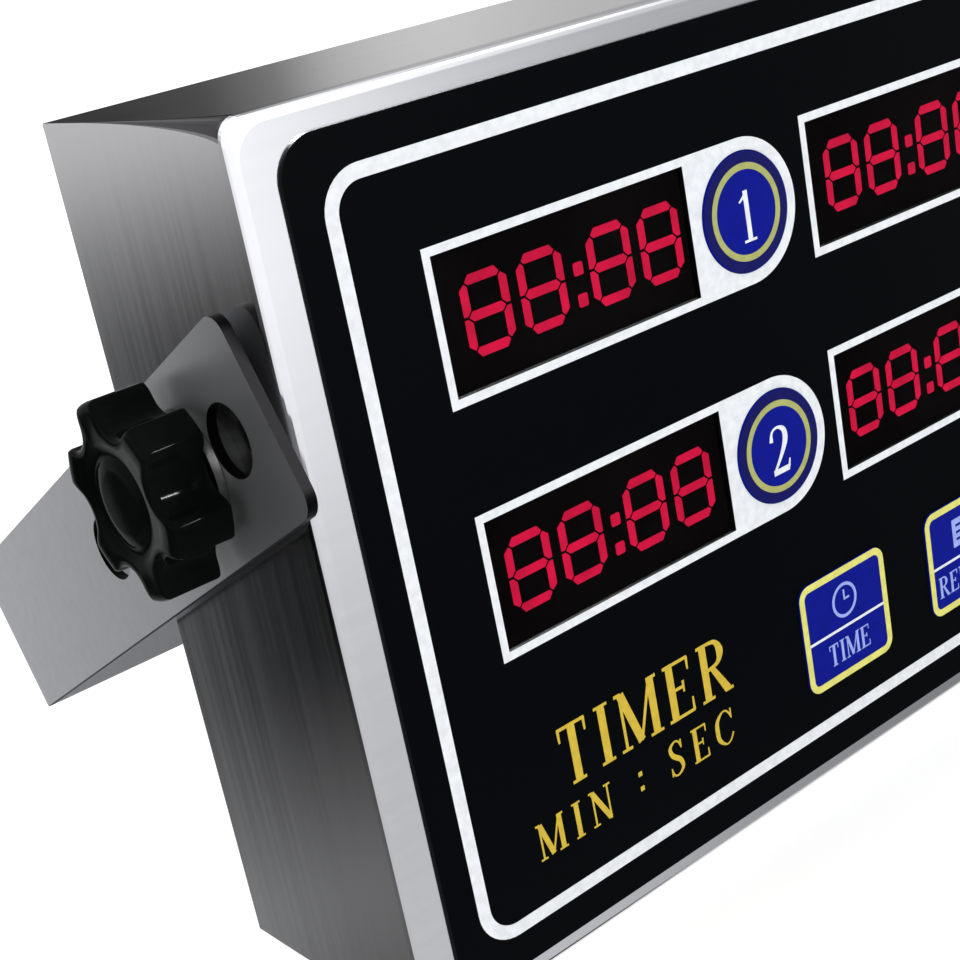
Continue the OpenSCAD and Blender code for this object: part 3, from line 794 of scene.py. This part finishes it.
def star_radius(angle, outer):
    """Distance from the axis to the star's edge at an angle, hollows being round."""
    step = 2 * math.pi / LOBES
    hollow_at = outer + HOLLOW_OUT
    from_hollow = (angle - HOLLOW_ANGLE + step / 2) % step - step / 2
    across = hollow_at * math.sin(abs(from_hollow))
    if across >= HOLLOW_R:
        return outer
    return min(outer, hollow_at * math.cos(from_hollow) - math.sqrt(HOLLOW_R ** 2 - across ** 2))


def soft_star(angle, outer):
    """The star's edge with its corners rounded, as a mean over a small angle."""
    reach = [math.radians(0.7 * k) for k in range(-3, 4)]
    return sum(star_radius(angle + d, outer) for d in reach) / len(reach)


def knob_head(side, materials):
    """Star knob: soft-edged lobes, dished face with a raised cap, round boss behind."""
    node = f"knob_head_{side}"
    lo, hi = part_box(node)
    outwards = -1 if side == "left" else 1
    base = hi.x if side == "left" else lo.x
    face = lo.x if side == "left" else hi.x
    centre_z = (lo.z + hi.z) / 2
    outer = (hi.z - lo.z) / 2
    length = abs(face - base)
    boss, boss_r = 0.9 * MM, 7.0 * MM
    soft = 0.55 * MM
    dish = 0.5 * MM
    steps = 360
    # Rings from the boss to the cap: (distance out along X, radius or None, inset from the star)
    profile = [(0, boss_r, None), (boss - 0.01 * MM, boss_r, None),
               (boss, None, 2.2 * MM), (boss, None, soft), (boss + soft * 0.29, None, soft * 0.29),
               (boss + soft, None, 0), (length - soft * 2, None, 0),
               (length - soft * 1.3, None, soft * 0.12), (length - soft * 0.5, None, soft * 0.6),
               (length - soft * 0.1, None, soft * 1.4), (length, None, soft * 2.4),
               (length, 7.9 * MM, None), (length - dish, 7.4 * MM, None),
               (length - dish, 6.0 * MM, None), (length - 0.1 * MM, 5.5 * MM, None),
               (length, 4.0 * MM, None)]
    work = bmesh.new()
    rings = []
    for out, radius, inset in profile:
        ring = []
        for i in range(steps):
            angle = 2 * math.pi * i / steps
            r = radius
            if r is None:
                r = soft_star(angle, outer) - inset
            ring.append(work.verts.new((base + outwards * out, r * math.cos(angle),
                                        centre_z + r * math.sin(angle))))
        rings.append(ring)
    for first, second in zip(rings, rings[1:]):
        for i in range(steps):
            j = (i + 1) % steps
            work.faces.new((first[i], first[j], second[j], second[i]))
    work.faces.new(rings[0])
    work.faces.new(rings[-1])
    bmesh.ops.recalc_face_normals(work, faces=work.faces)
    mesh = bpy.data.meshes.new(node)
    work.to_mesh(mesh)
    work.free()
    piece = as_object(f"star_knob_{side}", mesh, materials["knob_plastic"], f"knob_{side}")
    for polygon in mesh.polygons:
        polygon.use_smooth = len(polygon.vertices) == 4
    mesh.set_sharp_from_angle(angle=math.radians(50))
    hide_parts(node)


# ---------------------------------------------------------------- edges of the sheet metal

# Widths of the rounded edges, in millimetres
SOFT_EDGES = {"bracket": 0.25, "rear_cover": 0.2, "power_inlet": 0.3, "inlet_nut": 0.25, "buzzer": 0.3,
              "knob_washer_left": 0.15, "knob_washer_right": 0.15, "lead_connector": 0.2,
              "microcontroller": 0.1, "voltage_regulator": 0.15, "clock_crystal": 0.3,
              "filter_capacitors": 0.4, "tact_switches": 0.15, "cover_screws": 0.1}


def soften(node, width):
    """Rounds a CAD node's edges with a modifier, where its faces turn by over 40 degrees."""
    piece = frame["nodes"][node]
    bevel = piece.modifiers.new("soft_edges", "BEVEL")
    bevel.width = width
    bevel.segments = 2
    bevel.limit_method = "ANGLE"
    bevel.angle_limit = math.radians(40)


# ---------------------------------------------------------------- studio

FLOOR_SIZE = 12


def add_floor():
    """A pale floor under the case, which the steel does not mirror."""
    bpy.ops.mesh.primitive_plane_add(size=FLOOR_SIZE, location=(0, 0, CASE_LO.z))
    floor = bpy.context.object
    floor.name = "floor"
    material = new_material("floor", (0.93, 0.93, 0.93), 0.9, Specular_IOR_Level=0.0,
                            Emission_Color=(1, 1, 1, 1), Emission_Strength=0.3)
    floor.data.materials.append(material)
    floor.visible_glossy = False


def add_light(name, place, aim, size, power):
    data = bpy.data.lights.new(name, "AREA")
    data.shape = "RECTANGLE"
    data.size, data.size_y = size
    data.energy = power
    light = bpy.data.objects.new(name, data)
    bpy.context.scene.collection.objects.link(light)
    direction = Vector(aim) - Vector(place)
    light.matrix_world = (Matrix.Translation(Vector(place))
                          @ direction.to_track_quat("-Z", "Y").to_matrix().to_4x4())
    return light


def add_world():
    """Even white light; what the steel reflects is a studio with light and dark bands."""
    world = bpy.data.worlds.new("studio")
    world.use_nodes = True
    bpy.context.scene.world = world
    background = world.node_tree.nodes["Background"]
    kit = Nodes(world)
    direction = kit.parts(kit.place("Generated"))
    across, along = direction["X"], direction["Y"]
    height = kit.span(direction["Z"], -1, 1, 0, 1)
    # Behind on the left: a dark band below the horizon, for the case's side
    left_back = kit.ramp(height, [(0.0, 0.08), (0.215, 0.12), (0.24, 0.23), (0.265, 0.10), (0.295, 0.0),
                                  (0.37, 0.0), (0.395, 0.04), (0.42, 0.28), (0.445, 0.75), (0.5, 0.95)])
    # Straight behind: grey, for the bracket's leg
    bearing = kit.math("DIVIDE", across, along)
    bracket_part = kit.span(bearing, -0.43, -0.38, 0, 1)
    leg_tone = kit.ramp(kit.span(bearing, -0.43, -0.34, 0, 1),
                        [(0.0, (0.60, 0.62, 0.64)), (0.5, (0.62, 0.64, 0.66)), (1.0, (0.80, 0.82, 0.83))])
    left_back = kit.mix(bracket_part, left_back, leg_tone)
    # Behind on the right: dark to light, for the case's top
    right_back = kit.ramp(across, [(0.44, 0.03), (0.49, 0.07), (0.525, 0.21), (0.552, 0.50), (0.58, 0.64),
                                   (0.605, 0.68), (0.635, 0.61), (0.665, 0.55), (1.0, 0.5)])
    back = kit.mix(kit.span(across, 0.2, 0.4, 0, 1), left_back, right_back)
    # In front: brightest near the horizon, for the bare steel round the panel
    front = kit.mix(1.0, kit.ramp(height, [(0.2, 0.5), (0.27, 0.5), (0.31, 0.56), (0.35, 0.73), (0.40, 0.97),
                                           (0.43, 1.0)]),
                    kit.ramp(across, [(0.48, 1.0), (0.505, 0.93), (0.6, 0.53), (0.7, 0.365)]), "MULTIPLY")
    front = kit.mix(1.0, front, (1.63, 1.67, 1.70), "MULTIPLY")
    behind = kit.span(along, -0.2, 0.1, 0, 1)
    mirrored = kit.mix(behind, front, back)
    path = kit.add("ShaderNodeLightPath")
    shown = kit.mix(path.outputs["Is Glossy Ray"], (1.03, 1.03, 1.03), mirrored)
    kit.link(shown, background.inputs["Color"])
    background.inputs["Strength"].default_value = 1.0


def add_lights():
    """A soft light overhead, and a narrow one that only glossy surfaces show."""
    add_light("overhead", (0, -0.1, 1.4), (0, 0, 0), (1.6, 1.6), 3)
    glint = add_light("glint", (0.23, -0.77, 0.58), (-0.17, 0, 0.08), (0.5, 0.035), 50)
    glint.visible_diffuse = False


# ---------------------------------------------------------------- build

def main():
    add_camera()
    materials = make_materials()
    dress_cad(materials)
    border_line(materials)
    for n in CHANNELS:
        display_frame(n, materials)
        display_digits(n, materials)
        channel_print(n, materials)
    for kind in FUNCTION_KEYS:
        function_print(kind, materials)
    panel_words(materials)
    for side in SIDES:
        knob_head(side, materials)
    for node, width in SOFT_EDGES.items():
        soften(node, width * MM)
    add_floor()
    add_world()
    add_lights()
    bpy.context.scene.view_settings.view_transform = "Standard"


main()
